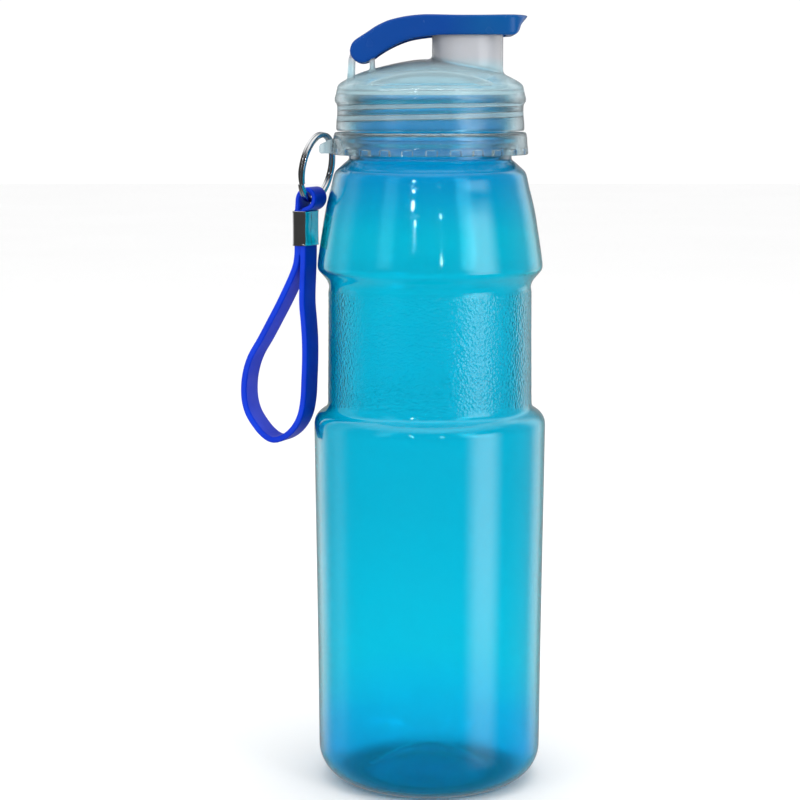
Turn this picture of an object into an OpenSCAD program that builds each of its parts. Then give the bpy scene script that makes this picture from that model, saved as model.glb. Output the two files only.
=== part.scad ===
// Sports squeeze bottle with a screw cap, a flip lid and a wrist strap.
// Millimetres. +Z is up, the origin is the centre of the base ring, the hinge of the
// flip lid and the strap lug are on the -X side and the thumb tab is on the +X side.

/* [Bottle] */
// Largest radius of the lower body, at its upper rim
body_r = 37.5; // [37.5:0.1:38.5]
// Radius of the waist under the pebble grain
waist_r = 32.7; // [32.2:0.1:33.2]
// Wall thickness of the blown body
wall_t = 1.2; // [0.9:0.1:1.5]
// Height of the moulded neck rim above the base
neck_top = 222.7; // [222.5:0.1:222.8]
// Outer radius of the plain neck
neck_r = 26; // [25.8:0.1:26.1]
// Inner radius of the mouth
mouth_r = 24; // [23:0.1:24.2]
// Depth of the push-up in the base
pushup_h = 8.3; // [6:0.1:10]

/* [Thread] */
// Pitch of the cap thread
pitch = 3.6; // [3.4:0.1:3.8]
// Crest radius of the thread on the neck
neck_crest_r = 27.3; // [27:0.1:27.4]
// Crest radius of the thread in the cap
cap_crest_r = 26.6; // [26.6:0.1:26.8]
// Turns of thread in the cap
thread_turns = 2; // [1.5:0.25:2.25]
// Turns of thread on the neck
neck_turns = 1.6; // [1.2:0.1:1.6]

/* [Cap] */
// Inner radius of the cap skirt
skirt_in_r = 27.9; // [27.8:0.1:28.1]
// Distance of the flat cheeks from the middle of the dome
cheek_y = 22; // [21.5:0.1:22.5]
// Offset of the spout from the bottle axis
spout_x = 11.8; // [11.5:0.1:12]
// Outer radius of the spout
spout_r = 11.3; // [11:0.1:11.4]
// Bore radius of the spout
spout_bore_r = 9.3; // [9.2:0.1:9.6]
// Height of the spout rim above the base
spout_top = 245.3; // [245.2:0.05:245.35]

/* [Flip lid] */
// Hinge axis of the flip lid, distance from the bottle axis
hinge_x = 21.4; // [21.2:0.1:21.5]
// Hinge axis of the flip lid, height above the base
hinge_z = 237; // [236.9:0.1:237.2]
// Radius of the hinge pin
pin_r = 2.2; // [2:0.05:2.25]
// Half width of the flip lid over its side walls
lid_hw = 13.5; // [13.3:0.1:14.5]
// Highest point of the flip lid
lid_top = 248; // [247.9:0.1:248.4]

/* [Collar, ring and strap] */
// Number of snap tabs around the collar
tabs = 24; // [12:12:24]
// Outer radius of the split ring
ring_r = 11.4; // [11.2:0.1:11.6]
// Radial width of the split ring wire
ring_w = 1.6; // [1.4:0.1:1.7]
// Turn of the ring and strap about the vertical
ring_yaw = -24; // [-26:1:-20]
// Lean of the split ring
ring_lean = 10; // [9:0.5:11]
// Width of the strap band
strap_w = 9; // [8:0.5:9]
// Thickness of the strap band
strap_t = 2; // [1.6:0.1:2]

/* [Hidden] */
fine = 96;
eps = 0.02;
ring_c = [-36.2, 0, 200.2];
ring_bottom = [-37.88, 0.75, 189.76];

// ---- helpers -------------------------------------------------------------------------

// Unit vector of a 2D vector
function unit(v) = v / max(norm(v), 1e-6);
// Left-hand normal at point i of an open line
function nrm(p, i) = let(a = p[max(i - 1, 0)], b = p[min(i + 1, len(p) - 1)], d = unit(b - a)) [-d[1], d[0]];
// An open line moved sideways by t
function side(p, t) = [for (i = [0:len(p) - 1]) p[i] + t * nrm(p, i)];
function rev(p) = [for (i = [len(p) - 1:-1:0]) p[i]];
// Round corner: points on an arc
function arc(c, r, a0, a1, n) = [for (i = [0:n]) c + r * [cos(a0 + (a1 - a0) * i / n), sin(a0 + (a1 - a0) * i / n)]];
// Smooth line through the points of p, s steps to a span
function cr(a, b, c, d, t) = 0.5 * ((2 * b) + (c - a) * t + (2 * a - 5 * b + 4 * c - d) * t * t + (3 * b - a - 3 * c + d) * t * t * t);
function smooth(p, s) = [for (i = [0:len(p) - 2]) for (j = [0:s - 1])
    cr(p[max(i - 1, 0)], p[i], p[i + 1], p[min(i + 2, len(p) - 1)], j / s), p[len(p) - 1]];

// One ring of a thread section at step i of n: root radius rr, crest radius rc
function sect(i, n, turns, z0, rr, rc) =
    let(a = 360 * turns * i / n, k = min(1, min(i, n - i) / 3), c = rr + (rc - rr) * (0.15 + 0.85 * k))
    [for (q = [[rr, -0.95], [c, -0.4], [c, 0.4], [rr, 0.95]]) [q[0] * cos(a), q[0] * sin(a), z0 + pitch * a / 360 + q[1]]];

// Helical thread ridge that starts at z0 and rises to the right
module ridge(z0, turns, rr, rc) {
    n = round(24 * turns);
    pts = [for (i = [0:n]) each sect(i, n, turns, z0, rr, rc)];
    flip = rc < rr;
    quads = [for (i = [0:n - 1]) for (j = [0:3]) [4 * i + j, 4 * i + (j + 1) % 4, 4 * i + 4 + (j + 1) % 4, 4 * i + 4 + j]];
    ends = [[3, 2, 1, 0], [4 * n, 4 * n + 1, 4 * n + 2, 4 * n + 3]];
    all = concat(quads, ends);
    tri = [for (f = all) each [[f[0], f[1], f[2]], [f[0], f[2], f[3]]]];
    polyhedron(points = pts, faces = flip ? [for (f = tri) [f[2], f[1], f[0]]] : tri);
}

// ---- bottle --------------------------------------------------------------------------

base_line = [[0, pushup_h], [6, pushup_h - 0.8], [11, pushup_h - 2.6], [15, 3.4], [18, 1.4], [20.2, 0.2], [21, 0], [25.3, 0]];
heel_line = arc([25.4, 11], 11, -85, 0, 7);
body_line = [[36.5, 30], [36.7, 52], [37, 77], [37.3, 100], [body_r - 0.08, 113], [body_r, 117.8], [body_r - 0.5, 119.8],
    [body_r - 1.3, 121.1], [body_r - 2.2, 121.9], [34, 122.6], [33.2, 123.7]];
waist_line = [[waist_r + 0.3, 125.4], [waist_r + 0.1, 144], [waist_r, 160.6], [waist_r - 0.15, 162.6], [33, 164.1], [34, 165.4],
    [35.2, 166.7], [36, 167.6], [36.2, 168.6], [36.1, 170.4]];
shoulder_line = [[35.35, 175.7], [34.5, 180.9], [33.7, 186], [32.4, 191.1], [31.7, 193.7], [31.2, 196.2], [30.85, 197.6],
    [30.35, 198.8], [29.7, 199.6], [28.6, 200.6], [27.5, 201.6], [26.7, 202.2]];
outer_line = concat(base_line, heel_line, body_line, waist_line, shoulder_line);
inner_line = [for (p = side(outer_line, wall_t)) p];
neck_line = [[neck_r + 0.15, 202.6], [neck_r, 203.1], [neck_r, 206.4], [27.9, 208], [28, 209.7], [27.6, 210], [neck_r, 210],
    [neck_r, neck_top - 0.6], [neck_r - 0.5, neck_top], [mouth_r + 0.3, neck_top], [mouth_r, neck_top - 0.3], [mouth_r, 203.2]];

module bottle_shell() color([0.0, 0.68, 0.86, 0.85]) {
    union() {
        rotate_extrude($fn = fine)
            polygon(concat(outer_line, neck_line, rev([for (i = [1:len(inner_line) - 1]) inner_line[i]]), [[0, pushup_h + wall_t]]));
        // gate mark under the push-up
        translate([0, 0, pushup_h - 0.7]) cylinder(r = 3.2, h = 1.3, $fn = 48);
        // thread
        ridge(215.5, neck_turns, neck_r - 0.35, neck_crest_r);
    }
}

// ---- cap -----------------------------------------------------------------------------

dome_line = [[0, 234.5], [7.8, 233.7], [12, 232.9], [16.7, 231.8], [22, 230.3], [24.3, 229.2], [26.9, 227.9], [28.9, 226.8], [29.6, 226],
    [29.8, 224.7], [30.07, 223.5], [30.45, 221.9], [30.45, 221.3], [30.2, 220.8], [29.85, 220.3], [29.65, 219.6], [29.65, 217],
    [29.9, 215], [30, 213], [29.8, 211.9]];

// One clip of the hinge cradle, from y0 outwards
module clip(y0, w) {
    translate([-hinge_x, y0 + w, hinge_z]) rotate([90, 0, 0]) difference() {
        union() {
            cylinder(r = 3.6, h = w, $fn = 64);
            linear_extrude(height = w) polygon([[-4.7, -10.4], [-2.9, -10.4], [-2.7, -8], [-2.6, -2.6], [-2.3, -1], [-3.2, 0.6], [-3.8, -0.6], [-4.3, -2.6]]);
            linear_extrude(height = w) polygon([[2.2, -7.1], [4.2, -7.1], [3.7, -5.6], [3.6, -1.6], [3.3, 0.6], [2.3, -0.6], [2.3, -5.4]]);
        }
        translate([0, 0, -1]) cylinder(r = pin_r + 0.1, h = w + 2, $fn = 64);
        translate([-1.75, 0, -1]) cube([3.5, 8, w + 2]);
    }
}

module screw_cap() color([0.82, 0.88, 0.93, 0.6]) {
    difference() {
        union() {
            difference() {
                union() {
                    difference() {
                        rotate_extrude($fn = fine) polygon(concat(dome_line, [[28.3, 211.8], [0, 211.8]]));
                        // flat cheeks beside the dome
                        for (s = [-1, 1]) translate([-40, s > 0 ? cheek_y : -cheek_y - 20, 226]) cube([80, 20, 20]);
                    }
                    translate([spout_x, 0, 226.5]) cylinder(r = spout_r, h = spout_top - 226.5, $fn = fine);
                }
                // inside of the skirt
                translate([0, 0, 211]) cylinder(r = skirt_in_r, h = 224.2 - 211, $fn = fine);
                // inside of the dome
                intersection() {
                    rotate_extrude($fn = fine) polygon([[0, 224], [25.2, 224], [25.2, 224.4], [24.4, 226.4], [22.2, 228.2], [16.7, 229.8], [12, 230.9], [7.8, 231.6], [0, 232.4]]);
                    translate([-30, -cheek_y + 1.8, 220]) cube([60, 2 * cheek_y - 3.6, 20]);
                }
            }
            clip(5.2, 6);
            clip(-11.2, 6);
        }
        // spout bore with a lead-in
        translate([spout_x, 0, 223.9]) cylinder(r = spout_bore_r, h = 30, $fn = fine);
    }
    ridge(215.5 - pitch / 2, thread_turns, skirt_in_r + 0.5, cap_crest_r);
}

module cap_gasket() color([0.93, 0.93, 0.9]) {
    rotate_extrude($fn = fine) polygon([[mouth_r + 0.1, neck_top + 0.05], [27.5, neck_top + 0.05], [27.5, 224.15], [mouth_r + 1.3, 224.15], [mouth_r + 0.1, 223.9]]);
}

// ---- flip lid ------------------------------------------------------------------------

lid_side = [[-25.2, 237.8], [-24.8, 238.7], [-23.9, 239.9], [-22.3, 241], [-20.7, 242], [-19.1, 243.1], [-17.2, 244.4], [-14.9, 245.5], [-12.5, 246.4],
    [-8.05, 247.4], [-3.3, lid_top - 0.05], [0, lid_top], [30.8, lid_top], [31, lid_top - 0.3], [29.1, 246.1], [28.1, 244.8], [27.6, 243], [26.8, 242.1], [25.7, 241.7],
    [2, 241.7], [0.2, 241.5], [-3.3, 241], [-6.5, 240.3], [-9.6, 239.2], [-12.8, 237.7], [-15.8, 235.9], [-17.4, 234.7], [-18.9, 233.9], [-21.4, 236]];
lid_void = [[-22, 231], [-20, 239], [-19.2, 240.6], [-15.8, 243.1], [-11.8, 244.6], [-7.6, 245.5], [-3, 246], [24.2, 246], [24.2, 231]];

module flip_lid() color([0.02, 0.3, 0.68]) {
    difference() {
        intersection() {
            translate([0, lid_hw, 0]) rotate([90, 0, 0]) union() {
                linear_extrude(height = 2 * lid_hw) polygon(lid_side);
                translate([-hinge_x, hinge_z, 0]) cylinder(r = 3.95, h = 2 * lid_hw, $fn = 64);
            }
            // round front in plan, concentric with the spout
            translate([0, 0, 225]) union() {
                translate([spout_x, 0, 0]) cylinder(r = 31 - spout_x + 0.01, h = 30, $fn = fine);
                translate([-30, -lid_hw, 0]) cube([30 + spout_x, 2 * lid_hw, 30]);
            }
        }
        translate([0, lid_hw - 1.7, 0]) rotate([90, 0, 0]) {
            linear_extrude(height = 2 * (lid_hw - 1.7)) polygon(lid_void);
            translate([-hinge_x, hinge_z, 0]) cylinder(r = 4.8, h = 2 * (lid_hw - 1.7), $fn = 64);
            translate([-30, 230, 0]) cube([10.4, 20, 2 * (lid_hw - 1.7)]);
        }
    }
    // hinge pin between the side walls
    translate([-hinge_x, lid_hw - 1, hinge_z]) rotate([90, 0, 0]) cylinder(r = pin_r, h = 2 * lid_hw - 2, $fn = 64);
    // plug that enters the spout
    translate([spout_x, 0, 0]) rotate_extrude($fn = fine)
        polygon([[6.6, 243.2], [7, 242.9], [8.2, 242.9], [8.5, 243.4], [8.8, 245], [8.8, 246.3], [6.6, 246.3]]);
}

module spout_seal() color([0.93, 0.93, 0.9]) {
    translate([spout_x, 0, 0]) rotate_extrude($fn = fine) polygon([[8.9, spout_top + 0.05], [11.2, spout_top + 0.05], [11.2, 245.95], [8.9, 245.95]]);
}

// ---- collar --------------------------------------------------------------------------

collar_line = [[26.7, 210.4], [28.6, 210.35], [28.6, 204.8], [29, 204.3], [30.9, 204.3], [31.25, 204.6], [31.3, 205.1], [31, 207.6], [30.9, 210],
    [30.5, 211.3], [30.2, 211.5], [26.9, 211.5], [26.7, 211.3]];

module carry_collar() color([0.82, 0.88, 0.93, 0.6]) {
    difference() {
        union() {
            rotate_extrude($fn = fine) polygon(collar_line);
            // lug: an outer bar on two short arms, with an upright hole behind the bar
            for (a = [[-0.8, -29.6], [12.8, -27]]) translate([0, a[0], 0]) rotate([90, 0, 0]) linear_extrude(height = 1.4)
                polygon([[a[1], 204.6], [-34.9, 204.8], [-35.3, 205.2], [-35.3, 207.1], [-34.8, 207.6], [-32.4, 208.9], [a[1], 209.4]]);
            translate([0, 12.8, 0]) rotate([90, 0, 0]) linear_extrude(height = 15)
                polygon([[-34.05, 204.9], [-34.9, 204.8], [-35.3, 205.2], [-35.3, 207.1], [-34.9, 207.6], [-34.5, 207.7], [-34.05, 207.5]]);
            // snap tabs inside the lower edge, which hook under the neck bead
            for (i = [0:tabs - 1]) rotate([0, 0, i * 360 / tabs - 90]) translate([27, -1.6, 204.5]) cube([2, 3.2, 1.5]);
        }
        // bore that clears the neck below its bead
        translate([0, 0, 204]) cylinder(r = 27.2, h = 6.2, $fn = fine);
    }
}

// ---- split ring ----------------------------------------------------------------------

module split_ring() color([0.75, 0.76, 0.78]) {
    translate(ring_c) rotate([0, 0, ring_yaw]) rotate([0, ring_lean, 0]) rotate([0, 90, 0]) rotate_extrude($fn = fine)
        polygon([[ring_r - ring_w, -0.9], [ring_r - ring_w + 0.15, -1], [ring_r - 0.15, -1], [ring_r, -0.9], [ring_r, -0.12], [ring_r - 0.3, 0], [ring_r, 0.12], [ring_r, 0.9], [ring_r - 0.15, 1],
            [ring_r - ring_w + 0.15, 1], [ring_r - ring_w, 0.9], [ring_r - ring_w, 0.12], [ring_r - ring_w + 0.3, 0], [ring_r - ring_w, -0.12]]);
}

// ---- strap ---------------------------------------------------------------------------

// Middle line of the wrist loop, sideways and up, from the ferrule round to the ferrule
loop_line = smooth([[-1.3, 176.5], [-1.4, 170], [-1.9, 158], [-1.4, 151], [-1, 144.7], [-1, 138.2], [-1.3, 131.7], [-1.7, 125.5], [-2.9, 120],
    [-5.5, 115.6], [-9.2, 112.6], [-13.2, 111.6], [-17, 113.6], [-20.7, 117.8], [-22.6, 121.5], [-23.4, 126], [-23, 131.9], [-21, 138.2],
    [-17, 144.7], [-13.2, 151.2], [-9.5, 157.7], [-4.8, 167], [-3.52, 172], [-3.45, 176.5]], 2);
// Middle line of the eye round the ring
eye_line = smooth([[-1.3, 186.2], [-0.8, 186.9], [0.2, 187.2], [1.4, 187.9], [2.4, 189.3], [2.5, 191.2], [1.3, 192.9], [-0.4, 193.3], [-2.1, 192.5], [-3.1, 190.6], [-3.3, 188.4], [-3.5, 186.2]], 3);

module band(line, t) { linear_extrude(height = strap_w) polygon(concat(side(line, t / 2), rev(side(line, -t / 2)))); }
// Sideways and up in the plane of the strap, with its width along the third axis
module strap_frame() { translate([ring_bottom[0], ring_bottom[1], 0]) rotate([0, 0, ring_yaw]) translate([0, strap_w / 2, 0]) rotate([90, 0, 0]) children(); }

module wrist_strap() color([0.0, 0.12, 0.9]) {
    strap_frame() union() {
        band(loop_line, strap_t);
        translate([-4.5, 175.3, 0]) cube([4.3, 11.4, strap_w]);
        band(eye_line, 1.4);
    }
}

module strap_ferrule() color([0.75, 0.76, 0.78]) {
    strap_frame() translate([-2.35, 175.2, strap_w / 2]) difference() {
        translate([-2.7, 0, -5.1]) cube([5.4, 11.2, 10.2]);
        translate([-2.2, -1, -4.55]) cube([4.4, 14, 9.1]);
    }
}

bottle_shell();
screw_cap();
cap_gasket();
flip_lid();
spout_seal();
carry_collar();
split_ring();
wrist_strap();
strap_ferrule();
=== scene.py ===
# Sports squeeze bottle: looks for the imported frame. Lengths inside the builders are in
# millimetres and are turned into metres when a mesh is made.
import math
import bpy
import numpy as np
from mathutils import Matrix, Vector, noise


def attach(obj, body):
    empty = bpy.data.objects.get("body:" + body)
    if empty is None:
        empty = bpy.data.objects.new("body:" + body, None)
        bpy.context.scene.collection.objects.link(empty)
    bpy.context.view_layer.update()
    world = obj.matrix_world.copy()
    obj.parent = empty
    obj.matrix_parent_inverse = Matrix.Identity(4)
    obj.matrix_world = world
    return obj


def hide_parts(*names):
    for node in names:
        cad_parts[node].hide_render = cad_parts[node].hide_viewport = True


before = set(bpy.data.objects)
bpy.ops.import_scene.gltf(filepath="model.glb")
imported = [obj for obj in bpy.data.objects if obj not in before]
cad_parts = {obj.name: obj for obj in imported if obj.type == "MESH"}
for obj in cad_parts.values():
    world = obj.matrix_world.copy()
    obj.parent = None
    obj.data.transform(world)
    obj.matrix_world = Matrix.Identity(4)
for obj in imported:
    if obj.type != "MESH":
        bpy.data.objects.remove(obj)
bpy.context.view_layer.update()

MM = 0.001

# ---------------------------------------------------------------- camera

scene = bpy.context.scene
cam_data = bpy.data.cameras.new("camera")
cam_data.sensor_width = 36.0
cam_data.lens = 36.0 * 2114.0 / 800.0
cam_data.clip_start = 0.01
cam = bpy.data.objects.new("camera", cam_data)
scene.collection.objects.link(cam)
cam.location = (-0.00965, -0.680, 0.2216)
cam.rotation_euler = (math.radians(90.0 - 8.08), 0.0, 0.0)
scene.camera = cam

# ---------------------------------------------------------------- helpers


def new_object(name, verts, faces, smooth=True):
    me = bpy.data.meshes.new(name)
    verts = np.asarray(verts, dtype=np.float64) * MM
    me.from_pydata(verts.tolist(), [], [tuple(int(i) for i in f) for f in faces])
    me.validate()
    me.update()
    if smooth:
        me.polygons.foreach_set("use_smooth", np.ones(len(me.polygons), dtype=bool))
    ob = bpy.data.objects.new(name, me)
    scene.collection.objects.link(ob)
    return ob


def quad_object(name, verts, quads, smooth=True):
    """A mesh from arrays, quickly."""
    me = bpy.data.meshes.new(name)
    v = (np.asarray(verts, dtype=np.float64) * MM).astype(np.float32)
    q = np.asarray(quads, dtype=np.int32)
    me.vertices.add(len(v))
    me.vertices.foreach_set("co", v.ravel())
    me.loops.add(q.size)
    me.loops.foreach_set("vertex_index", q.ravel())
    me.polygons.add(len(q))
    me.polygons.foreach_set("loop_start", np.arange(0, q.size, q.shape[1], dtype=np.int32))
    me.update(calc_edges=True)
    me.validate()
    if smooth:
        me.polygons.foreach_set("use_smooth", np.ones(len(me.polygons), dtype=bool))
    ob = bpy.data.objects.new(name, me)
    scene.collection.objects.link(ob)
    return ob


def smoothstep(a, b, x):
    t = np.clip((np.asarray(x, dtype=float) - a) / (b - a), 0, 1)
    return t * t * (3 - 2 * t)


def chaikin(pts, times=2):
    """Corner cutting on an open line, ends kept."""
    p = np.asarray(pts, dtype=float)
    for _ in range(times):
        q = p[:-1] * 0.75 + p[1:] * 0.25
        r = p[:-1] * 0.25 + p[1:] * 0.75
        mid = np.empty((2 * len(q), p.shape[1]))
        mid[0::2], mid[1::2] = q, r
        p = np.vstack([p[:1], mid, p[-1:]])
    return p


def catmull(pts, n=8, closed=False):
    p = np.asarray(pts, dtype=float)
    out = []
    m = len(p)
    for i in range(m if closed else m - 1):
        if closed:
            a, b, c, d = p[(i - 1) % m], p[i], p[(i + 1) % m], p[(i + 2) % m]
        else:
            a, b, c, d = p[max(i - 1, 0)], p[i], p[i + 1], p[min(i + 2, m - 1)]
        t = (np.arange(n) / n)[:, None]
        out.append(0.5 * (2 * b + (c - a) * t + (2 * a - 5 * b + 4 * c - d) * t**2 + (3 * b - a - 3 * c + d) * t**3))
    if not closed:
        out.append(p[-1:])
    return np.vstack(out)


def resample(pts, step):
    p = np.asarray(pts, dtype=float)
    s = np.r_[0, np.cumsum(np.linalg.norm(np.diff(p, axis=0), axis=1))]
    n = max(2, int(round(s[-1] / step)) + 1)
    t = np.linspace(0, s[-1], n)
    return np.column_stack([np.interp(t, s, p[:, k]) for k in range(p.shape[1])])


def arc(cx, cz, r, a0, a1, n):
    return [(cx + r * math.cos(math.radians(a0 + (a1 - a0) * i / n)), cz + r * math.sin(math.radians(a0 + (a1 - a0) * i / n))) for i in range(n + 1)]


def lathe(name, line, seg, move=None):
    """Turns a closed or axis-to-axis line of (r, z) about Z. The first and last points may lie on the axis."""
    line = np.asarray(line, dtype=float)
    a = np.linspace(0, 2 * math.pi, seg, endpoint=False)
    on_axis0, on_axis1 = line[0, 0] < 1e-6, line[-1, 0] < 1e-6
    body = line[(1 if on_axis0 else 0) : (len(line) - 1 if on_axis1 else len(line))]
    R, Z = body[:, 0][:, None], body[:, 1][:, None]
    V = np.stack([R * np.cos(a), R * np.sin(a), Z + 0 * a], axis=-1)
    if move is not None:
        V = move(V, body, a)
    n = len(body)
    V = V.reshape(-1, 3)
    i = np.arange(n - 1)[:, None] * seg
    j = np.arange(seg)[None, :]
    j2 = (np.arange(seg)[None, :] + 1) % seg
    quads = np.stack([i + j, i + j2, i + seg + j2, i + seg + j], axis=-1).reshape(-1, 4)
    if not on_axis0 and not on_axis1:
        i0 = (n - 1) * seg
        loop = np.stack([i0 + j, i0 + j2, 0 * j + j2, 0 * j + j], axis=-1).reshape(-1, 4)
        quads = np.vstack([quads, loop])
        return quad_object(name, V, quads)
    faces = [tuple(q) for q in quads]
    V = list(map(tuple, V))
    if on_axis0:
        k = len(V)
        V.append((0, 0, line[0, 1]))
        faces += [(k, (q + 1) % seg, q) for q in range(seg)]
    if on_axis1:
        k = len(V)
        V.append((0, 0, line[-1, 1]))
        faces += [(k, (n - 1) * seg + q, (n - 1) * seg + (q + 1) % seg) for q in range(seg)]
    return new_object(name, V, faces)


# ---- signed distance surfaces


def smin(a, b, k):
    h = np.clip(0.5 + 0.5 * (b - a) / k, 0, 1)
    return b * (1 - h) + a * h - k * h * (1 - h)


def smax(a, b, k):
    return -smin(-a, -b, k)


class Outline:
    """Signed distance to closed outlines in a plane, tabled and read by interpolation. Negative is inside."""

    def __init__(self, outlines, step=0.12, pad=4.0):
        outlines = [np.asarray(o, dtype=float) for o in outlines]
        allp = np.vstack(outlines)
        self.lo = allp.min(0) - pad
        self.n = np.ceil((allp.max(0) + pad - self.lo) / step).astype(int) + 1
        self.step = step
        U = self.lo[0] + step * np.arange(self.n[0])[:, None]
        W = self.lo[1] + step * np.arange(self.n[1])[None, :]
        U, W = np.broadcast_arrays(U, W)
        d2 = np.full(U.shape, 1e9)
        inside = np.zeros(U.shape, dtype=bool)
        for o in outlines:
            p, q = o, np.roll(o, -1, axis=0)
            for (x0, y0), (x1, y1) in zip(p, q):
                ex, ey = x1 - x0, y1 - y0
                L = ex * ex + ey * ey
                if L < 1e-12:
                    continue
                t = np.clip(((U - x0) * ex + (W - y0) * ey) / L, 0, 1)
                np.minimum(d2, (U - x0 - t * ex) ** 2 + (W - y0 - t * ey) ** 2, out=d2)
                if y0 != y1:
                    cond = ((y0 > W) != (y1 > W)) & (U < ex * (W - y0) / ey + x0)
                    inside ^= cond
        d = np.sqrt(d2)
        self.T = np.where(inside, -d, d)

    def __call__(self, u, w):
        fu = np.clip((u - self.lo[0]) / self.step, 0, self.n[0] - 1.001)
        fw = np.clip((w - self.lo[1]) / self.step, 0, self.n[1] - 1.001)
        i, j = fu.astype(int), fw.astype(int)
        a, b = fu - i, fw - j
        T = self.T
        return T[i, j] * (1 - a) * (1 - b) + T[i + 1, j] * a * (1 - b) + T[i, j + 1] * (1 - a) * b + T[i + 1, j + 1] * a * b


def surface(name, f, lo, hi, h):
    """The zero surface of f as quads (surface nets), with each vertex then moved onto the surface."""
    lo, hi = np.asarray(lo, dtype=float), np.asarray(hi, dtype=float)
    n = np.ceil((hi - lo) / h).astype(int) + 1
    ax = [lo[k] + h * np.arange(n[k]) for k in range(3)]
    F = np.empty(n, dtype=np.float32)
    Y, Z = np.meshgrid(ax[1], ax[2], indexing="ij")
    for i in range(n[0]):
        F[i] = f(np.full(Y.shape, ax[0][i]), Y, Z)
    cells = n - 1
    ids, pos, edges = [], [], []
    for k in range(3):
        sl0 = [slice(None)] * 3
        sl1 = [slice(None)] * 3
        sl0[k], sl1[k] = slice(0, -1), slice(1, None)
        A, B = F[tuple(sl0)], F[tuple(sl1)]
        idx = np.argwhere((A < 0) != (B < 0))
        a, b = A[tuple(idx.T)].astype(float), B[tuple(idx.T)].astype(float)
        p = idx.astype(float)
        p[:, k] += a / (a - b)
        o1, o2 = (k + 1) % 3, (k + 2) % 3
        quad = []
        ok = np.ones(len(idx), dtype=bool)
        for d1, d2 in ((-1, -1), (0, -1), (0, 0), (-1, 0)):
            c = idx.copy()
            c[:, o1] += d1
            c[:, o2] += d2
            ok &= (c >= 0).all(1) & (c < cells).all(1)
            quad.append(c)
        lin = [np.ravel_multi_index(tuple(np.clip(c, 0, cells - 1).T), cells) for c in quad]
        for q in lin:
            ids.append(q[ok])
            pos.append(p[ok])
        Q = np.stack(lin, axis=1)[ok]
        flip = (a >= 0)[ok]
        Q[flip] = Q[flip][:, ::-1]
        edges.append(Q)
    ids, pos, Q = np.concatenate(ids), np.vstack(pos), np.vstack(edges)
    uniq, inv = np.unique(ids, return_inverse=True)
    cnt = np.bincount(inv)
    V = np.column_stack([np.bincount(inv, weights=pos[:, k]) / cnt for k in range(3)]) * h + lo
    Q = np.searchsorted(uniq, Q)
    e = 0.05
    for _ in range(3):
        d = f(V[:, 0], V[:, 1], V[:, 2])
        g = np.column_stack([f(*(V + e * np.eye(3)[k]).T) - f(*(V - e * np.eye(3)[k]).T) for k in range(3)]) / (2 * e)
        gg = np.maximum((g * g).sum(1), 0.2)
        V = V - np.clip(d / gg, -0.4 * h, 0.4 * h)[:, None] * g
    return quad_object(name, V, Q)


# ---------------------------------------------------------------- materials


class Nodes:
    def __init__(self, name):
        self.mat = bpy.data.materials.new(name)
        self.mat.use_nodes = True
        self.t = self.mat.node_tree
        self.bsdf = self.t.nodes["Principled BSDF"]
        self.out = self.t.nodes["Material Output"]
        self.coord = self.t.nodes.new("ShaderNodeTexCoord")

    def node(self, kind, **props):
        n = self.t.nodes.new(kind)
        for k, v in props.items():
            setattr(n, k, v)
        return n

    def link(self, a, b):
        self.t.links.new(a, b)

    def noise(self, scale, detail=3.0, rough=0.5, vector=None):
        n = self.node("ShaderNodeTexNoise")
        n.inputs["Scale"].default_value = scale
        n.inputs["Detail"].default_value = detail
        n.inputs["Roughness"].default_value = rough
        self.link(vector or self.coord.outputs["Object"], n.inputs["Vector"])
        return n.outputs["Fac"]

    def ramp(self, fac, stops):
        n = self.node("ShaderNodeValToRGB")
        e = n.color_ramp.elements
        while len(e) < len(stops):
            e.new(0.5)
        for el, (p, c) in zip(e, stops):
            el.position = p
            el.color = (c, c, c, 1) if isinstance(c, (int, float)) else (*c, 1)
        self.link(fac, n.inputs["Fac"])
        return n.outputs["Color"]

    def maprange(self, fac, a, b, c, d):
        n = self.node("ShaderNodeMapRange")
        for k, v in zip(("From Min", "From Max", "To Min", "To Max"), (a, b, c, d)):
            n.inputs[k].default_value = v
        self.link(fac, n.inputs["Value"])
        return n.outputs["Result"]

    def bump(self, height, strength, distance, normal=None):
        n = self.node("ShaderNodeBump")
        n.inputs["Strength"].default_value = strength
        n.inputs["Distance"].default_value = distance
        self.link(height, n.inputs["Height"])
        if normal is not None:
            self.link(normal, n.inputs["Normal"])
        return n.outputs["Normal"]

    def z(self):
        n = self.node("ShaderNodeSeparateXYZ")
        self.link(self.coord.outputs["Object"], n.inputs["Vector"])
        return n.outputs["Z"]

    def mix(self, fac, a, b):
        n = self.node("ShaderNodeMix", data_type="RGBA")
        self.link(fac, n.inputs["Factor"])
        for sock, v in ((n.inputs[6], a), (n.inputs[7], b)):
            if isinstance(v, tuple):
                sock.default_value = (*v, 1)
            else:
                self.link(v, sock)
        return n.outputs[2]


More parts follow.
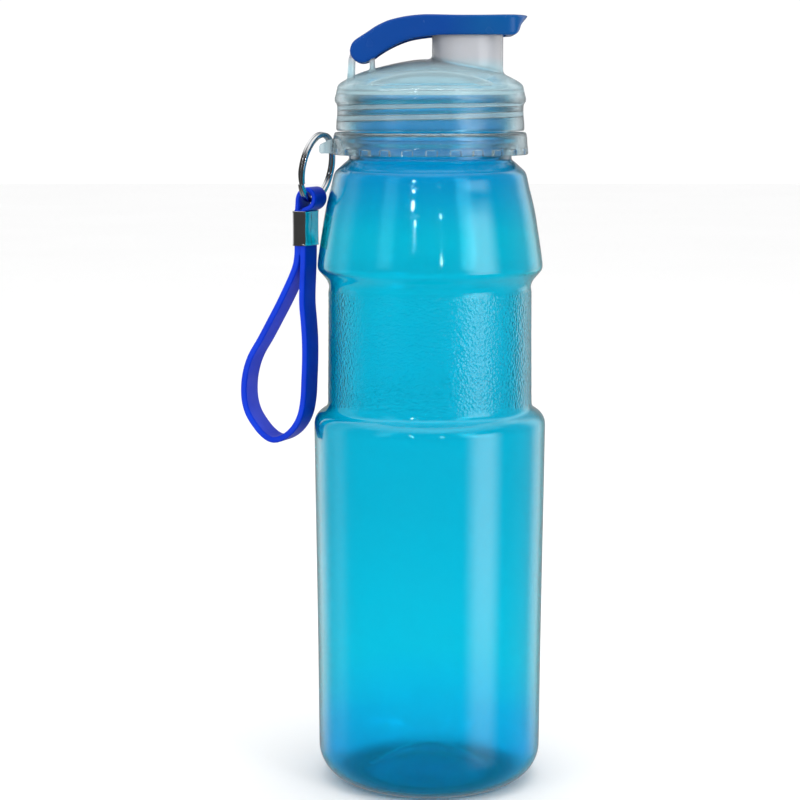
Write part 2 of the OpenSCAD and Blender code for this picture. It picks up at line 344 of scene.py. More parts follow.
def mat_bottle():
    """Tinted, slightly hazy polyethylene: clear blue through the wall, darker where the wall is seen edge on."""
    m = Nodes("bottle_blue")
    z = m.z()
    # painted shade and light: the blue is set by height, darker on the shoulder top and neck below the collar, bluer
    # and lighter at the base
    painted_shade_by_height = m.ramp(
        m.maprange(z, 0.0, 0.224, 0.0, 1.0),
        [(0.0, (0.0, 0.70, 1.0)), (0.06, (0.0, 0.65, 1.0)), (0.15, (0.0, 0.76, 0.91)), (0.42, (0.0, 0.68, 0.84)), (0.63, (0.0, 0.70, 0.875)), (0.80, (0.0, 0.75, 0.90)),
         (0.87, (0.0, 0.57, 0.83)), (0.905, (0.0, 0.56, 0.88)), (0.93, (0.0, 0.60, 0.92)), (1.0, (0.0, 0.68, 0.94))],
    )
    cloud = m.noise(14.0, 4.0)
    tint = m.mix(m.maprange(cloud, 0.35, 0.7, 0.0, 0.12), painted_shade_by_height, (0.0, 0.76, 0.88))
    m.link(tint, m.bsdf.inputs["Base Color"])
    m.bsdf.inputs["Transmission Weight"].default_value = 0.93
    m.bsdf.inputs["IOR"].default_value = 1.47
    m.bsdf.inputs["Specular IOR Level"].default_value = 0.18
    m.bsdf.inputs["Coat Roughness"].default_value = 0.03
    fine = m.noise(900.0, 2.0)
    wave = m.noise(40.0, 2.0)
    n1 = m.bump(wave, 0.06, 0.0006)
    n2 = m.bump(fine, 0.03, 0.0001, n1)
    # the finest part of the pebble grain, on the waist only
    band = m.node("ShaderNodeMath", operation="MULTIPLY")
    m.link(m.maprange(z, 0.1240, 0.1255, 0.0, 1.0), band.inputs[0])
    m.link(m.maprange(z, 0.1606, 0.1620, 1.0, 0.0), band.inputs[1])
    m.link(m.maprange(band.outputs[0], 0.0, 1.0, 0.5, 0.40), m.bsdf.inputs["Coat Weight"])
    rough = m.node("ShaderNodeMath", operation="ADD")
    m.link(m.maprange(m.noise(60.0, 3.0), 0.3, 0.7, 0.07, 0.13), rough.inputs[0])
    m.link(m.maprange(band.outputs[0], 0.0, 1.0, 0.0, 0.04), rough.inputs[1])
    m.link(rough.outputs[0], m.bsdf.inputs["Roughness"])
    cells = m.node("ShaderNodeTexVoronoi", feature="F1")
    cells.inputs["Scale"].default_value = 1150.0
    m.link(m.coord.outputs["Object"], cells.inputs["Vector"])
    grain = m.node("ShaderNodeMath", operation="MULTIPLY")
    m.link(cells.outputs["Distance"], grain.inputs[0])
    m.link(band.outputs[0], grain.inputs[1])
    n3 = m.bump(grain.outputs[0], 0.6, 0.00020, n2)
    m.link(n3, m.bsdf.inputs["Normal"])
    m.link(m.bump(grain.outputs[0], 0.7, 0.0002), m.bsdf.inputs["Coat Normal"])
    return m.mat


def mat_frosted():
    """Natural polypropylene: milky where it is thick, nearly clear where it is thin."""
    m = Nodes("cap_frosted")
    cloud = m.noise(30.0, 4.0)
    pale = m.ramp(cloud, [(0.3, (0.74, 0.93, 1.0)), (0.7, (0.81, 0.96, 1.0))])
    z = m.z()
    dome = m.mix(m.maprange(z, 0.2215, 0.2240, 0.0, 0.8), pale, (0.70, 0.93, 1.0))
    m.link(m.mix(m.maprange(z, 0.2315, 0.2350, 0.0, 1.0), dome, (0.86, 0.86, 0.89)), m.bsdf.inputs["Base Color"])
    xyz = m.node("ShaderNodeSeparateXYZ")
    m.link(m.coord.outputs["Object"], xyz.inputs["Vector"])
    flat = m.node("ShaderNodeCombineXYZ")
    m.link(xyz.outputs["X"], flat.inputs["X"])
    m.link(xyz.outputs["Y"], flat.inputs["Y"])
    length = m.node("ShaderNodeVectorMath", operation="LENGTH")
    m.link(flat.outputs[0], length.inputs[0])
    r = length.outputs["Value"]

    def times(a, b):
        k = m.node("ShaderNodeMath", operation="MULTIPLY")
        m.link(a, k.inputs[0])
        m.link(b, k.inputs[1])
        return k.outputs[0]

    # clear through the thin walls, milkier up the dome, on the thread ridges and out on the lug
    up = m.ramp(m.maprange(z, 0.204, 0.246, 0.0, 1.0), [(0.0, 0.975), (0.42, 0.975), (0.48, 0.80), (0.60, 0.66), (0.72, 0.68), (1.0, 0.70)])
    low = m.maprange(z, 0.2225, 0.2215, 0.0, 1.0)
    high = m.maprange(z, 0.2117, 0.2120, 0.0, 1.0)
    ridge_in = times(times(m.maprange(r, 0.0277, 0.0273, 0.0, 1.0), low), high)
    lug_out = m.maprange(r, 0.0312, 0.0320, 0.0, 1.0)
    clear = times(times(up, m.maprange(ridge_in, 0.0, 1.0, 1.0, 0.45)), m.maprange(lug_out, 0.0, 1.0, 1.0, 0.62))
    m.link(clear, m.bsdf.inputs["Transmission Weight"])
    m.bsdf.inputs["IOR"].default_value = 1.40
    m.bsdf.inputs["Specular IOR Level"].default_value = 0.5
    m.link(m.maprange(m.noise(120.0, 3.0), 0.3, 0.7, 0.14, 0.22), m.bsdf.inputs["Roughness"])
    m.link(m.bump(m.noise(700.0, 3.0), 0.06, 0.0001), m.bsdf.inputs["Normal"])
    return m.mat


def mat_lid():
    """Mid-blue moulding, a little lighter where light comes through it over the spout."""
    m = Nodes("lid_blue")
    xyz = m.node("ShaderNodeSeparateXYZ")
    m.link(m.coord.outputs["Object"], xyz.inputs["Vector"])
    along = m.maprange(xyz.outputs["X"], 0.004, 0.016, 0.0, 1.0)
    deep = m.ramp(m.noise(25.0, 4.0), [(0.3, (0.0, 0.042, 0.24)), (0.7, (0.0, 0.054, 0.29))])
    m.link(m.mix(along, deep, (0.0, 0.074, 0.27)), m.bsdf.inputs["Base Color"])
    m.bsdf.inputs["Specular IOR Level"].default_value = 0.30
    m.link(m.maprange(m.noise(90.0, 3.0), 0.3, 0.7, 0.18, 0.28), m.bsdf.inputs["Roughness"])
    m.link(m.bump(m.noise(500.0, 3.0), 0.05, 0.0001), m.bsdf.inputs["Normal"])
    return m.mat


def mat_strap():
    """Satin silicone, with a faint cloudiness and a fine grain."""
    m = Nodes("strap_blue")
    m.link(m.ramp(m.noise(60.0, 4.0), [(0.3, (0.0, 0.030, 0.54)), (0.7, (0.0, 0.046, 0.68))]), m.bsdf.inputs["Base Color"])
    m.link(m.maprange(m.noise(200.0, 3.0), 0.3, 0.7, 0.30, 0.42), m.bsdf.inputs["Roughness"])
    m.bsdf.inputs["Specular IOR Level"].default_value = 0.22
    m.link(m.bump(m.noise(1500.0, 3.0), 0.10, 0.00006), m.bsdf.inputs["Normal"])
    return m.mat


def mat_steel():
    """Bright nickel plate with fine rubbing marks and slightly dulled patches."""
    m = Nodes("steel")
    m.link(m.ramp(m.noise(80.0, 4.0), [(0.3, (0.70, 0.71, 0.72)), (0.7, (0.86, 0.86, 0.87))]), m.bsdf.inputs["Base Color"])
    m.bsdf.inputs["Metallic"].default_value = 1.0
    m.link(m.maprange(m.noise(300.0, 4.0), 0.3, 0.7, 0.05, 0.14), m.bsdf.inputs["Roughness"])
    m.link(m.bump(m.noise(350.0, 4.0), 0.12, 0.00012), m.bsdf.inputs["Normal"])
    return m.mat


def mat_seal():
    m = Nodes("seal_white")
    m.link(m.ramp(m.noise(60.0, 3.0), [(0.3, (0.80, 0.81, 0.79)), (0.7, (0.88, 0.88, 0.86))]), m.bsdf.inputs["Base Color"])
    m.link(m.maprange(m.noise(200.0, 3.0), 0.3, 0.7, 0.45, 0.6), m.bsdf.inputs["Roughness"])
    m.link(m.bump(m.noise(900.0, 3.0), 0.1, 0.00005), m.bsdf.inputs["Normal"])
    return m.mat


M_BOTTLE, M_CAP, M_LID, M_STRAP, M_STEEL, M_SEAL = mat_bottle(), mat_frosted(), mat_lid(), mat_strap(), mat_steel(), mat_seal()


def finish_piece(ob, mat, body, node):
    ob.data.materials.clear()
    ob.data.materials.append(mat)
    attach(ob, body)
    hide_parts(node)
    return ob


# ---------------------------------------------------------------- thread helper

PITCH = 3.6


def ridge(th, z, z0, turns):
    """How far a thread ridge stands at angle and height, 0 to 1."""
    th = np.mod(th, 2 * math.pi)
    u = (z - z0) / PITCH - th / (2 * math.pi)
    k = np.round(u)
    along = k + th / (2 * math.pi)
    w = np.abs(u - k) * PITCH
    prof = 1 - smoothstep(0.32, 0.98, w)
    ends = smoothstep(0.0, 0.10, along) * (1 - smoothstep(turns - 0.10, turns, along))
    ends = np.where((along < 0) | (along > turns), 0, ends)
    return prof * ends


# ---------------------------------------------------------------- bottle

outer_pts = (
    [(0, 8.3), (3.2, 8.15), (6, 7.5), (11, 5.7), (15, 3.4), (18, 1.4), (20.2, 0.25), (21.2, 0.0), (25.3, 0.0)]
    + arc(25.4, 11, 11, -85, 0, 9)
    + [(36.5, 30), (36.7, 52), (37.0, 77), (37.3, 100), (37.42, 113), (37.5, 117.6), (37.35, 118.8), (37.0, 119.8), (36.5, 120.6), (35.9, 121.3), (35.0, 122.0), (34.0, 122.6), (33.35, 123.3), (33.1, 124.2)]
)
waist_pts = [(33.0, 125.4), (32.8, 144), (32.7, 160.4)]
upper_pts = [(32.5, 162.0), (32.6, 163.0), (33.1, 164.2), (34.0, 165.4), (35.0, 166.5), (35.7, 167.3), (36.1, 168.1), (36.2, 168.9), (36.1, 170.4), (35.35, 175.7), (34.5, 180.9), (33.7, 186),
             (32.5, 191.1), (31.75, 193.7), (31.25, 196.1), (30.9, 197.7), (30.45, 198.8), (29.75, 199.6), (28.6, 200.6), (27.5, 201.6), (26.8, 202.2), (26.25, 202.6), (26.02, 203.0)]
neck_pts = [(26.0, 203.6), (26.0, 206.2), (26.5, 206.9), (27.6, 207.8), (28.0, 208.3), (28.0, 209.5), (27.7, 209.95), (26.3, 210.1), (26.0, 210.5), (26.0, 211.5)]
top_pts = [(26.0, 222.0), (25.8, 222.5), (25.4, 222.7), (24.4, 222.7), (24.05, 222.4), (24.0, 221.8)]
lower = chaikin(outer_pts, 2)
upper = chaikin(upper_pts, 2)
neck = chaikin(neck_pts, 2)
top = chaikin(top_pts, 2)
waist = resample(chaikin(waist_pts, 1), 0.44)
thread_rows = resample([(26.0, 211.6), (26.0, 221.9)], 0.35)
outer_line = np.vstack([lower, waist, upper, neck, thread_rows, top])


def offset_line(p, t):
    d = np.gradient(p, axis=0)
    d /= np.maximum(np.linalg.norm(d, axis=1), 1e-9)[:, None]
    return p + t * np.column_stack([-d[:, 1], d[:, 0]])


skin = np.vstack([chaikin(outer_pts, 1), chaikin(waist_pts, 1), chaikin(upper_pts, 1)])
inner = offset_line(skin, 1.2)
inner = inner[(inner[:, 0] > 0.6)]
inner[:, 0] = np.where(inner[:, 1] > 196, np.maximum(inner[:, 0], 24.0), inner[:, 0])
inner = inner[inner[:, 1] < 201.5]
inner = np.vstack([[(0.0, 9.5)], inner, [(24.0, 203.2), (24.0, 208), (24.0, 214), (24.0, 219)]])
inner[0] = (0.0, 9.5)
line = np.vstack([outer_line, inner[::-1]])
keep = np.r_[True, np.linalg.norm(np.diff(line, axis=0), axis=1) > 0.02]
line = line[keep]


def shape_bottle(V, body, a):
    r, z = V[..., 0].copy(), V[..., 2]
    rad = np.hypot(V[..., 0], V[..., 1])
    th = np.arctan2(V[..., 1], V[..., 0])
    count = len(outer_line)
    is_outer = np.zeros(V.shape[:2], dtype=bool)
    is_outer[: min(count, V.shape[0])] = True
    d = np.zeros(rad.shape)
    # neck thread
    th_z = is_outer & (z > 211.5) & (z < 222.0) & (rad > 25.5)
    d = np.where(th_z, 1.3 * ridge(th, z, 215.5, 1.6), d)
    # pebble grain on the waist
    mask = smoothstep(123.6, 125.2, z) * (1 - smoothstep(160.6, 161.9, z)) * is_outer
    ii = np.argwhere(mask > 0.001)
    g = np.zeros(rad.shape)
    for i, j in ii:
        p = V[i, j]
        q = Vector((p[0] * 0.86, p[1] * 0.86, p[2] * 0.86))
        f = noise.voronoi(q, distance_metric="DISTANCE")[0]
        g[i, j] = min((f[1] - f[0]) * 1.3, 0.55) + 0.15 * noise.noise(q * 2.3)
    d = d + mask * (g - 0.3) * 0.17
    s = (rad + d) / np.maximum(rad, 1e-9)
    V[..., 0] *= s
    V[..., 1] *= s
    return V


bottle = lathe("bottle_body", line, 432, shape_bottle)
finish_piece(bottle, M_BOTTLE, "bottle", "bottle_shell")

# ---------------------------------------------------------------- screw cap

SPX, SPR, BORE, SPTOP = 11.8, 11.3, 9.3, 245.3
HX, HZ = -21.4, 237.0
cap_out = Outline(
    [[(-3, 211.9), (-3, 234.45)] + list(map(tuple, chaikin(
        [(0, 234.45), (4, 234.3), (7.8, 233.75), (12, 232.95), (16.7, 231.8), (22, 230.3), (24.3, 229.3), (26.9, 228.0), (28.6, 227.0), (29.5, 226.1), (29.75, 224.9), (29.95, 223.9),
         (30.15, 223.0), (30.45, 222.3), (30.45, 221.3), (30.15, 220.7), (29.8, 220.3), (29.65, 219.6), (29.65, 217), (29.9, 215), (30.0, 213), (29.95, 212.2), (29.7, 211.9)], 2)))],
    step=0.12,
)
cap_in = Outline(
    [[(-3, 226), (-3, 232.4)] + list(map(tuple, chaikin([(0, 232.4), (7.8, 231.6), (12, 230.9), (16.7, 229.8), (22.2, 228.2), (24.3, 226.6), (25.2, 225.0), (25.2, 224.0)], 2))) + [(25.2, 222.0), (-3, 222.0)]],
    step=0.15,
)
leg_l = Outline([[(-4.9, -10.4), (-2.9, -10.4), (-2.75, -8), (-2.6, -2.6), (-2.2, -1), (-3.1, 0.6), (-3.7, -0.6), (-4.35, -2.6)]], step=0.08)
leg_r = Outline([[(2.0, -7.2), (4.4, -7.2), (3.75, -5.4), (3.6, -1.6), (3.2, 0.6), (2.2, -0.6), (2.3, -5.2)]], step=0.08)


def f_cap(x, y, z):
    r = np.hypot(x, y)
    th = np.arctan2(y, x)
    ay = np.abs(y)
    d = cap_out(r, z)
    cheek = smin(ay - 22.0, z - 226.0, 0.9)
    d = smax(d, cheek, 0.5)
    rs = np.hypot(x - SPX, y)
    tube = np.maximum(np.maximum(rs - SPR, z - SPTOP), 226.5 - z)
    tube = smax(rs - SPR, z - SPTOP, 0.5)
    tube = np.maximum(tube, 228.0 - z)
    d = smin(d, tube, 1.3)
    # hinge cradle
    px, pz = x - HX, z - HZ
    rp = np.hypot(px, pz)
    clip = smin(smin(rp - 3.6, leg_l(px, pz), 0.4), leg_r(px, pz), 0.4)
    clip = np.maximum(clip, -(rp - 2.3))
    slot = np.maximum(np.abs(px) - 1.75, -pz)
    clip = np.maximum(clip, -slot)
    clip = smax(clip, np.abs(ay - 8.2) - 3.0, 0.35)
    d = smin(d, clip, 0.9)
    # the hollow
    hollow = np.maximum(cap_in(r, z), ay - 20.2)
    skirt = np.maximum(r - 27.9, z - 224.2)
    rid = ridge(th, z, 215.5 - PITCH / 2, 2.0)
    skirt = np.maximum(r - 27.9 + 1.25 * rid, z - 224.2)
    d = smax(d, -skirt, 0.2)
    d = smax(d, -hollow, 0.3)
    bore = np.maximum(rs - BORE, 223.0 - z)
    d = smax(d, -bore, 0.4)
    return np.maximum(d, 211.85 - z)


cap = surface("cap_body", f_cap, (-31.5, -31.5, 211.0), (31.5, 31.5, 246.2), 0.42)
finish_piece(cap, M_CAP, "cap", "screw_cap")

# ---------------------------------------------------------------- seals

gasket = lathe("cap_gasket_ring", chaikin([(24.1, 222.75), (24.6, 222.75), (27.2, 222.75), (27.5, 222.9), (27.5, 224.0), (27.2, 224.15), (25.3, 224.15), (24.1, 223.95), (24.1, 222.8)], 1)[::-1], 192)
finish_piece(gasket, M_SEAL, "seal", "cap_gasket")


def shift_x(V, body, a):
    V[..., 0] += SPX
    return V


seal = lathe("spout_seal_ring", chaikin([(8.9, 245.35), (9.3, 245.35), (10.9, 245.35), (11.2, 245.5), (11.2, 245.8), (10.9, 245.95), (9.2, 245.95), (8.9, 245.85), (8.9, 245.4)], 1)[::-1], 128, shift_x)
finish_piece(seal, M_SEAL, "lid", "spout_seal")

# ---------------------------------------------------------------- flip lid

lid_top_line = catmull([(-25.3, 237.0), (-24.85, 238.6), (-23.9, 239.9), (-22.3, 241.05), (-20.7, 242.05), (-19.1, 243.1), (-17.2, 244.35), (-14.9, 245.5), (-12.5, 246.4), (-8.05, 247.4), (-3.3, 247.93), (0.5, 248.0), (8, 247.85), (16, 247.85), (24, 247.95), (30.6, 248.0)], 6)
lid_tip = [(31.0, 247.7), (30.2, 247.0)]
lid_low = catmull([(29.2, 246.0), (28.35, 244.9), (27.75, 243.3), (26.9, 242.2), (25.4, 241.7), (20, 241.7), (10, 241.7), (3, 241.65), (0.2, 241.4), (-3.3, 240.95), (-6.5, 240.3), (-9.6, 239.2), (-12.8, 237.7), (-15.8, 235.9), (-17.3, 234.8), (-18.4, 234.05)], 5)
end_arc = arc(HX, HZ, 3.93, -42, -178, 12)
lid_side = Outline([list(map(tuple, lid_top_line)) + lid_tip + list(map(tuple, lid_low)) + end_arc], step=0.1)
lid_void = Outline([[(-22, 229), (-20, 239), (-19.2, 240.6)] + list(map(tuple, catmull([(-18.6, 241.1), (-15.8, 243.0), (-11.8, 244.6), (-7.6, 245.5), (-3, 245.95), (2, 246.0)], 6))) + [(24.2, 246), (24.2, 229)]], step=0.12)


def f_lid(x, y, z):
    ay = np.abs(y)
    rs = np.hypot(x - SPX, y)
    plan = np.where(x > SPX, smax(rs - 19.2, ay - 13.5, 2.2), ay - 13.5)
    d = smax(lid_side(x, z), plan, 1.1)
    px, pz = x - HX, z - HZ
    rp = np.hypot(px, pz)
    void = smin(smin(lid_void(x, z), rp - 4.8, 0.4), np.maximum(x + 19.6, -(z - 229)), 0.3)
    void = smax(void, ay - 11.8, 0.8)
    d = smax(d, -void, 0.35)
    pin = np.maximum(rp - 2.2, ay - 12.4)
    d = smin(d, pin, 0.35)
    plug = np.maximum(np.maximum(rs - (8.5 + 0.12 * (z - 243.0)), 6.6 - rs), np.maximum(242.9 - z, z - 246.4))
    d = smin(d, plug, 0.25)
    return d


lid = surface("lid_body", f_lid, (-26.5, -14.6, 231.8), (32.4, 14.6, 249.2), 0.32)
finish_piece(lid, M_LID, "lid", "flip_lid")

# ---------------------------------------------------------------- collar

collar_2d = Outline([list(map(tuple, chaikin([(28.65, 206), (28.65, 204.9), (28.9, 204.35), (29.4, 204.3), (30.7, 204.3), (31.15, 204.45), (31.3, 205.0), (31.2, 206.2), (31.0, 207.6), (30.9, 210), (30.6, 211.1), (30.2, 211.5), (27.2, 211.5), (26.75, 211.3), (26.75, 210.5), (27.2, 210.35), (28.4, 210.35), (28.65, 210.1)], 1)))], step=0.08)
arm_near = Outline([[(-29.5, 204.6), (-34.8, 204.75), (-35.25, 205.15), (-35.3, 206.9), (-34.9, 207.55), (-32.4, 208.95), (-29.5, 209.5)]], step=0.08)
arm_far = Outline([[(-27, 204.6), (-34.8, 204.75), (-35.25, 205.15), (-35.3, 206.9), (-34.9, 207.55), (-32.4, 208.95), (-27, 209.5)]], step=0.08)
bar_2d = Outline([[(-34.05, 204.95), (-34.8, 204.8), (-35.25, 205.2), (-35.3, 206.9), (-34.95, 207.5), (-34.5, 207.65), (-34.05, 207.45)]], step=0.06)


def f_collar(x, y, z):
    r = np.hypot(x, y)
    d = collar_2d(r, z)
    near = smax(arm_near(x, z), np.abs(y + 1.5) - 0.7, 0.3)
    far = smax(arm_far(x, z), np.abs(y - 12.1) - 0.7, 0.3)
    bar = smax(bar_2d(x, z), np.abs(y - 5.3) - 7.5, 0.3)
    lug = smin(smin(near, bar, 0.5), smin(far, bar, 0.5), 0.2)
    lug = np.maximum(lug, 28.8 - r)
    d = smin(d, lug, 0.5)
    a = np.arctan2(y, x) + math.pi / 2
    step = 2 * math.pi / 24
    a = a - step * np.round(a / step)
    s = r * np.sin(a)
    q = r * np.cos(a)
    tab = smax(smax(np.abs(s) - 1.6, np.abs(z - 205.25) - 0.75, 0.25), np.abs(q - 28.0) - 0.8, 0.15)
    d = smin(d, tab, 0.12)
    return d


collar = surface("collar_body", f_collar, (-36.0, -31.9, 203.6), (31.9, 31.9, 212.2), 0.3)
finish_piece(collar, M_CAP, "collar", "carry_collar")

# ---------------------------------------------------------------- split ring

YAW = math.radians(-24)
LEAN = math.radians(10)
RING_C = np.array([-36.2, 0.0, 200.2])
XP = np.array([math.cos(YAW), math.sin(YAW), 0.0])
YP = np.array([-math.sin(YAW), math.cos(YAW), 0.0])
VP = math.sin(LEAN) * XP + math.cos(LEAN) * np.array([0, 0, 1.0])
NP_ = math.cos(LEAN) * XP - math.sin(LEAN) * np.array([0, 0, 1.0])


def make_split_ring():
    """Two turns of flat wire side by side, crossing over where each end lies."""
    rm, w, t = 10.6, 1.55, 0.92
    turns = 2.0
    n = 320
    prof = []
    rw, rt, rr = w / 2, t / 2, 0.22
    for cx, cy, a0 in ((rw - rr, rt - rr, 0), (-rw + rr, rt - rr, 90), (-rw + rr, -rt + rr, 180), (rw - rr, -rt + rr, 270)):
        for k in range(4):
            b = math.radians(a0 + 30 * k)
            prof.append((cx + rr * math.cos(b), cy + rr * math.sin(b)))
    prof = np.array(prof)
    m = len(prof)
    V = []
    start = math.radians(208)
    for i in range(n + 1):
        s = turns * i / n
        ang = start + 2 * math.pi * s
        # the wire moves from one side to the other over a short stretch at the start of the second turn
        side = -0.48 + 0.96 * float(smoothstep(0.93, 1.07, s))
        e1 = math.cos(ang) * YP + math.sin(ang) * VP
        for u, v in prof:
            V.append(RING_C + (rm + u) * e1 + (side + v) * NP_)
    V = np.array(V)
    faces = []
    for i in range(n):
        for j in range(m):
            a, b = i * m + j, i * m + (j + 1) % m
            faces.append((a, a + m, b + m, b))
    faces.append(tuple(range(m)))
    faces.append(tuple(n * m + j for j in reversed(range(m))))
    ob = new_object("split_ring_wire", V, faces)
    for p in ob.data.polygons:
        if len(p.vertices) > 4:
            p.use_smooth = False
    return ob


ring = make_split_ring()
finish_piece(ring, M_STEEL, "ring", "split_ring")

# ---------------------------------------------------------------- wrist strap

PB = np.array([-37.88, 0.75])
loop_pts = [(-1.3, 176.5), (-1.4, 170), (-1.9, 158), (-1.4, 151), (-1, 144.7), (-1, 138.2), (-1.3, 131.7), (-1.7, 125.5), (-2.9, 120), (-5.5, 115.6), (-9.2, 112.6), (-13.2, 111.6), (-17, 113.6), (-20.7, 117.8),
            (-22.6, 121.5), (-23.4, 126), (-23, 131.9), (-21, 138.2), (-17, 144.7), (-13.2, 151.2), (-9.5, 157.7), (-4.8, 167), (-3.52, 172), (-3.45, 176.5)]
eye_pts = [(-1.3, 186.2), (-0.8, 186.9), (0.2, 187.2), (1.4, 187.9), (2.4, 189.3), (2.5, 191.2), (1.3, 192.9), (-0.4, 193.3), (-2.1, 192.5), (-3.1, 190.6), (-3.3, 188.4), (-3.5, 186.2)]


def ribbon(pts, t, n=6):
    c = catmull(pts, n)
    a, b = offset_line(c, t / 2), offset_line(c, -t / 2)
    return list(map(tuple, a)) + list(map(tuple, b[::-1]))


loop_2d = Outline([ribbon(loop_pts, 2.0)], step=0.12, pad=3)
eye_2d = Outline([ribbon(eye_pts, 1.4)], step=0.08, pad=3)


def to_uv(x, y):
    dx, dy = x - PB[0], y - PB[1]
    return dx * XP[0] + dy * XP[1], dx * YP[0] + dy * YP[1]


def f_strap(u, v, z):
    core = np.maximum(np.abs(u + 2.35) - 2.1, np.abs(z - 181.0) - 5.6)
    d = smin(loop_2d(u, z), core, 0.3)
    d = smin(d, eye_2d(u, z), 0.3)
    return smax(d, np.abs(v) - 4.5, 0.75)


def placed(ob):
    """Turns a mesh made in the strap's own plane into the frame."""
    n = len(ob.data.vertices)
    co = np.empty(n * 3, dtype=np.float32)
    ob.data.vertices.foreach_get("co", co)
    co = co.reshape(-1, 3).astype(float)
    out = np.empty_like(co)
    out[:, 0] = PB[0] * MM + co[:, 0] * XP[0] + co[:, 1] * YP[0]
    out[:, 1] = PB[1] * MM + co[:, 0] * XP[1] + co[:, 1] * YP[1]
    out[:, 2] = co[:, 2]
    ob.data.vertices.foreach_set("co", out.astype(np.float32).ravel())
    ob.data.update()
    return ob


strap = placed(surface("strap_band", f_strap, (-25.6, -5.3, 109.6), (4.2, 5.3, 195.0), 0.33))
finish_piece(strap, M_STRAP, "strap", "wrist_strap")


def f_ferrule(u, v, z):
    pu, pz = u + 2.35, z - 180.8
    # a flat strip rolled round the strap and pressed: rounded corners, a dent on each broad face
    dent = 0.26 * np.exp(-((pz / 2.8) ** 2) - (v / 3.0) ** 2)
    lip = 0.10 * smoothstep(4.9, 5.4, np.abs(pz))
    box = smax(np.abs(pu) - 2.68 + dent - lip, np.abs(v) - 5.08 - lip, 1.7)
    box = smax(box, np.abs(pz) - 5.55, 0.25)
    hole = smax(np.abs(pu) - 2.2, np.abs(v) - 4.6, 0.9)
    d = smax(box, -hole, 0.2)
    # the seam where the strip's two ends meet, on the face towards the bottle
    seam = np.maximum(np.abs(v + 1.1 - 0.35 * np.sin(pz * 0.75)) - 0.14, 2.36 - pu)
    return smax(d, -seam, 0.12)


ferrule = placed(surface("ferrule_clip", f_ferrule, (-5.6, -5.7, 174.6), (0.9, 5.7, 187.0), 0.14))
finish_piece(ferrule, M_STEEL, "strap", "strap_ferrule")

# ---------------------------------------------------------------- stage, light


def stage_mat(name, col, rough):
    m = Nodes(name)
    m.link(m.ramp(m.noise(3.0, 2.0), [(0.3, tuple(c * 0.985 for c in col)), (0.7, col)]), m.bsdf.inputs["Base Color"])
    m.bsdf.inputs["Roughness"].default_value = rough
    return m.mat


floor = new_object("floor", [(-4000, -3000, 0), (4000, -3000, 0), (4000, 5000, 0), (-4000, 5000, 0)], [(0, 1, 2, 3)], smooth=False)
floor.data.materials.append(stage_mat("floor_white", (0.985, 0.985, 0.985), 0.8))

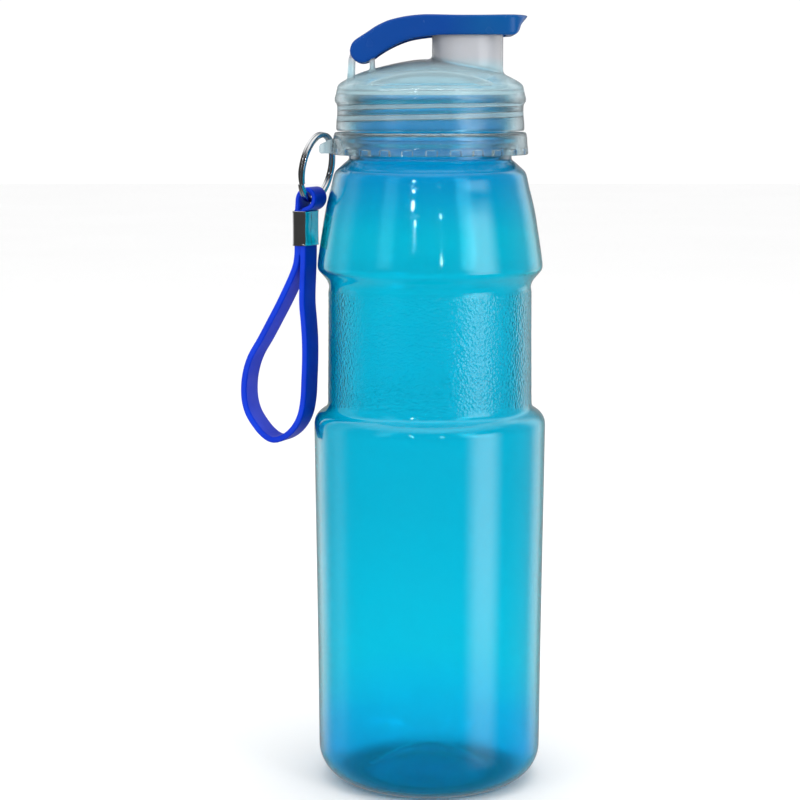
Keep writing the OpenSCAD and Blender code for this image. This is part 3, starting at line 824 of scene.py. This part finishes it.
def studio_world():
    """A white room. What shiny surfaces mirror is a dimmer room with tall soft boxes standing around the object."""
    w = bpy.data.worlds.new("studio")
    w.use_nodes = True
    t = w.node_tree
    t.nodes.clear()

    def n(kind, **props):
        x = t.nodes.new(kind)
        for k, v in props.items():
            setattr(x, k, v)
        return x

    def math_node(op, a, b=None, c=None, clamp=False):
        x = n("ShaderNodeMath", operation=op, use_clamp=clamp)
        for i, v in enumerate((a, b, c)):
            if v is None:
                continue
            if isinstance(v, (int, float)):
                x.inputs[i].default_value = v
            else:
                t.links.new(v, x.inputs[i])
        return x.outputs[0]

    def smooth_range(v, a, b, lo, hi):
        x = n("ShaderNodeMapRange", interpolation_type="SMOOTHSTEP")
        for k, q in zip(("From Min", "From Max", "To Min", "To Max"), (a, b, lo, hi)):
            x.inputs[k].default_value = q
        t.links.new(v, x.inputs["Value"])
        return x.outputs["Result"]

    coord = n("ShaderNodeTexCoord")
    sep = n("ShaderNodeSeparateXYZ")
    t.links.new(coord.outputs["Generated"], sep.inputs["Vector"])
    x, y, z = sep.outputs["X"], sep.outputs["Y"], sep.outputs["Z"]
    az = math_node("ARCTAN2", x, math_node("MULTIPLY", y, -1.0))
    el = math_node("ARCSINE", z)

    total = smooth_range(y, -0.3, 0.9, 0.05, 0.34)
    total = math_node("ADD", total, smooth_range(z, 0.55, 0.95, 0.0, 0.95))
    # centre azimuth, half width, softness, lowest and highest edge, strength
    for ca, hw, soft, e0, e1, k in (
        (0.97, 0.24, 0.17, -0.30, 0.35, 2.3),
        (-1.78, 0.14, 0.14, -0.30, 0.7, 0.26),
        (2.35, 0.20, 0.16, -0.30, 0.8, 0.75),
        (-2.45, 0.20, 0.18, -0.30, 0.8, 0.8),
    ):
        d = math_node("ABSOLUTE", math_node("SUBTRACT", az, ca))
        d = math_node("MINIMUM", d, math_node("SUBTRACT", 2 * math.pi, d))
        side = smooth_range(d, hw - soft, hw + soft, 1.0, 0.0)
        low = smooth_range(el, e0 - 0.07, e0 + 0.07, 0.0, 1.0)
        high = smooth_range(el, e1 - 0.1, e1 + 0.1, 1.0, 0.0)
        total = math_node("ADD", total, math_node("MULTIPLY", math_node("MULTIPLY", side, math_node("MULTIPLY", low, high)), k))
    # small lamps high in front: azimuth, elevation, radius, strength
    for ca, ce, rad, k in ((-0.36, 0.42, 0.030, 26.0), (-0.30, 0.28, 0.022, 22.0), (0.19, 0.34, 0.020, 20.0), (0.19, 0.20, 0.018, 16.0)):
        dx = math_node("SUBTRACT", az, ca)
        dz = math_node("SUBTRACT", el, ce)
        d2 = math_node("SQRT", math_node("ADD", math_node("MULTIPLY", dx, dx), math_node("MULTIPLY", dz, dz)))
        total = math_node("ADD", total, smooth_range(d2, rad * 0.7, rad * 1.3, k, 0.0))
    lp = n("ShaderNodeLightPath")
    mirror = n("ShaderNodeBackground")
    mirror.inputs["Color"].default_value = (1, 1, 1, 1)
    t.links.new(total, mirror.inputs["Strength"])
    room = n("ShaderNodeBackground")
    room.inputs["Color"].default_value = (1, 1, 1, 1)
    room.inputs["Strength"].default_value = 1.04
    glossy = math_node("MINIMUM", lp.outputs["Glossy Depth"], 1.0)
    mix = n("ShaderNodeMixShader")
    t.links.new(glossy, mix.inputs[0])
    t.links.new(room.outputs[0], mix.inputs[1])
    t.links.new(mirror.outputs[0], mix.inputs[2])
    out = n("ShaderNodeOutputWorld")
    t.links.new(mix.outputs[0], out.inputs["Surface"])
    w.cycles.sampling_method = "NONE"
    scene.world = w


studio_world()
floor.visible_glossy = False


def area(name, loc, target, size, size_y, power, color=(1, 1, 1)):
    d = bpy.data.lights.new(name, "AREA")
    d.shape = "RECTANGLE"
    d.size, d.size_y, d.energy, d.color = size, size_y, power, color
    o = bpy.data.objects.new(name, d)
    scene.collection.objects.link(o)
    o.location = loc
    o.rotation_euler = (Vector(target) - Vector(loc)).to_track_quat("-Z", "Y").to_euler()
    o.visible_camera = False
    o.visible_glossy = False
    return o


area("softbox_right", (0.62, -0.75, 0.55), (0, 0, 0.12), 0.30, 0.60, 2.2)
area("softbox_left", (-1.0, -0.9, 0.75), (0, 0, 0.12), 0.4, 0.9, 2.0)
area("softbox_top", (0.1, -0.1, 1.3), (0, 0, 0.15), 0.9, 0.9, 3.0)

scene.view_settings.view_transform = "Standard"
scene.cycles.use_denoising = True
scene.cycles.max_bounces = 8
scene.cycles.transmission_bounces = 8
scene.cycles.glossy_bounces = 3
scene.cycles.diffuse_bounces = 3
scene.cycles.transparent_max_bounces = 8
